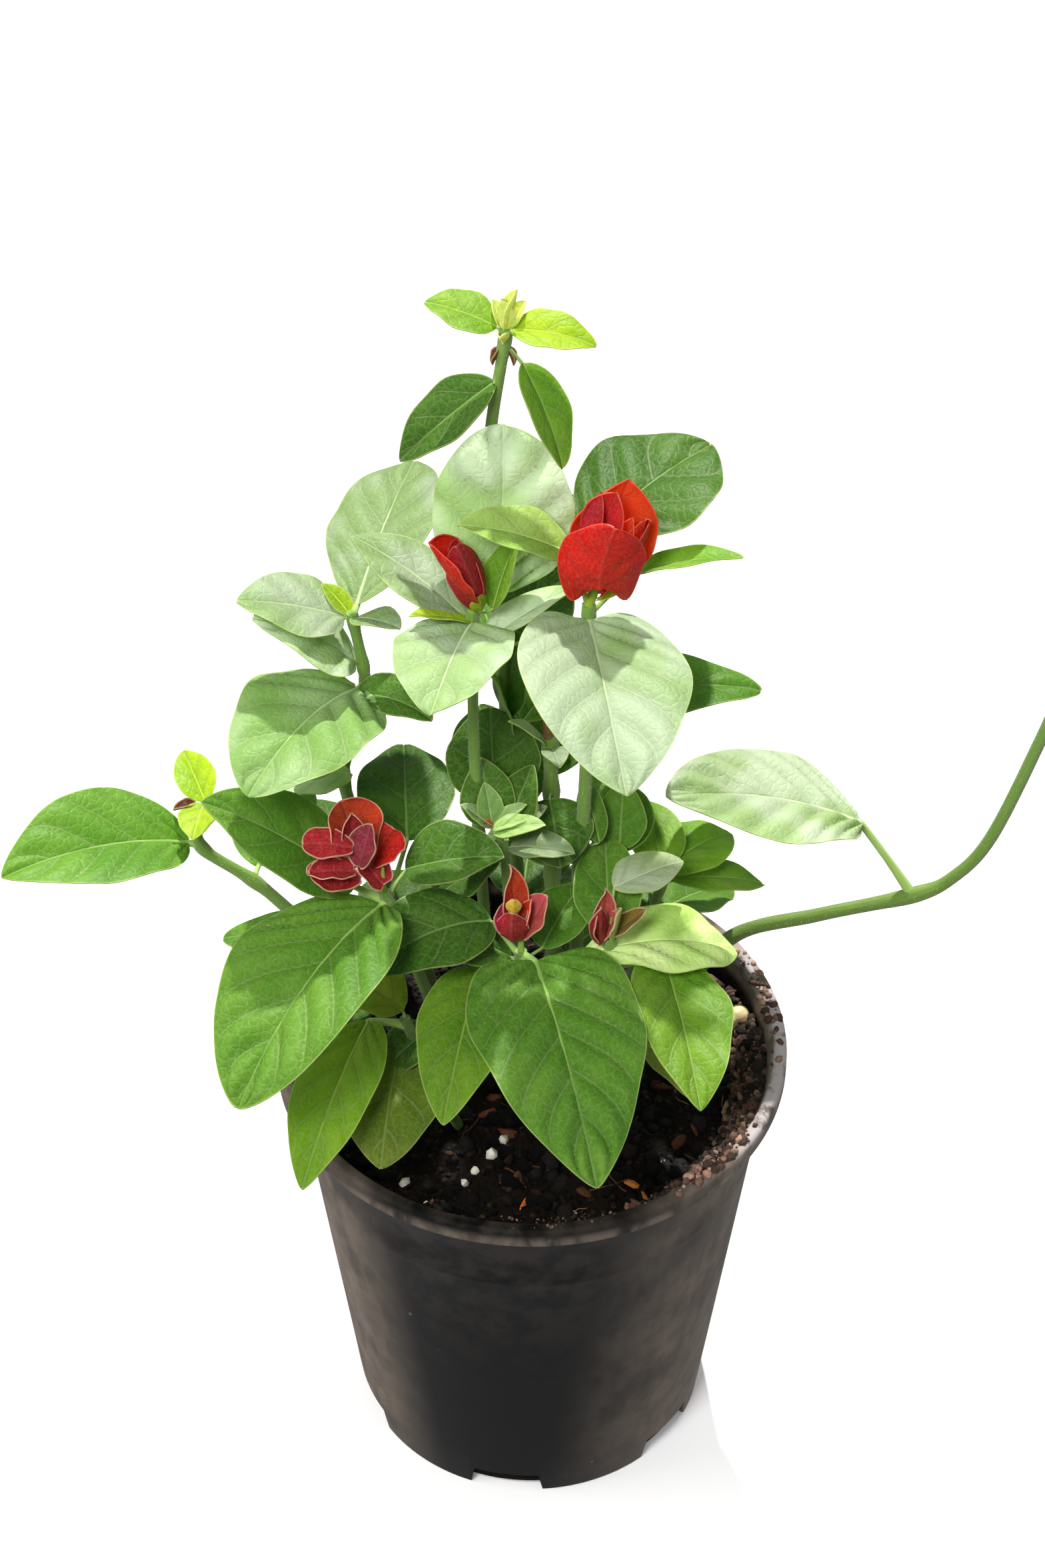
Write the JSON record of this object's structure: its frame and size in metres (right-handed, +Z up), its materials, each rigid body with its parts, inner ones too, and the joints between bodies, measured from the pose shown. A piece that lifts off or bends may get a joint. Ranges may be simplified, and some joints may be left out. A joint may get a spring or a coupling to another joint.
{
  "type": "potted shrimp plant",
  "caption": "Shrimp plant with oval green leaves and heads of red bracts, growing in a round tapered black nursery pot with drain notches.",
  "frame": {"origin": "centre of the pot's flat underside, on the floor", "axes": "+Z up through the pot's axis, +X to the right where the long runner stem leans, -Y towards the front where the largest leaves hang"},
  "size_m": [0.3083, 0.1765, 0.3857],
  "materials": {
    "pot": "smooth thin black plastic with a dusty haze",
    "soil": "moist dark potting mix with bark crumbs",
    "pebble": "smooth cream stone",
    "leaf_and_stem": "soft, finely hairy, with sunken veins",
    "bract": "thin, satin, with pale margins"
  },
  "bodies": {
    "root": {"pot": "pot", "potting_soil": "soil", "cream_pebble": "pebble", "tall_tip_stem": "leaf_and_stem", "big_bloom_stem": "leaf_and_stem", "small_bloom_stem": "leaf_and_stem", "back_left_stem": "leaf_and_stem", "low_left_stem": "leaf_and_stem", "left_bloom_stem": "leaf_and_stem", "front_bloom_stem": "leaf_and_stem", "right_bloom_stem": "leaf_and_stem", "cut_stem": "leaf_and_stem", "centre_short_shoot": "leaf_and_stem", "back_right_stem": "leaf_and_stem", "front_low_stem": "leaf_and_stem", "runner_stem": "leaf_and_stem", "big_bloom": "bract", "small_bloom": "bract", "left_bloom": "bract", "front_bloom": "bract", "right_bloom": "bract"}
  },
  "joints": []
}
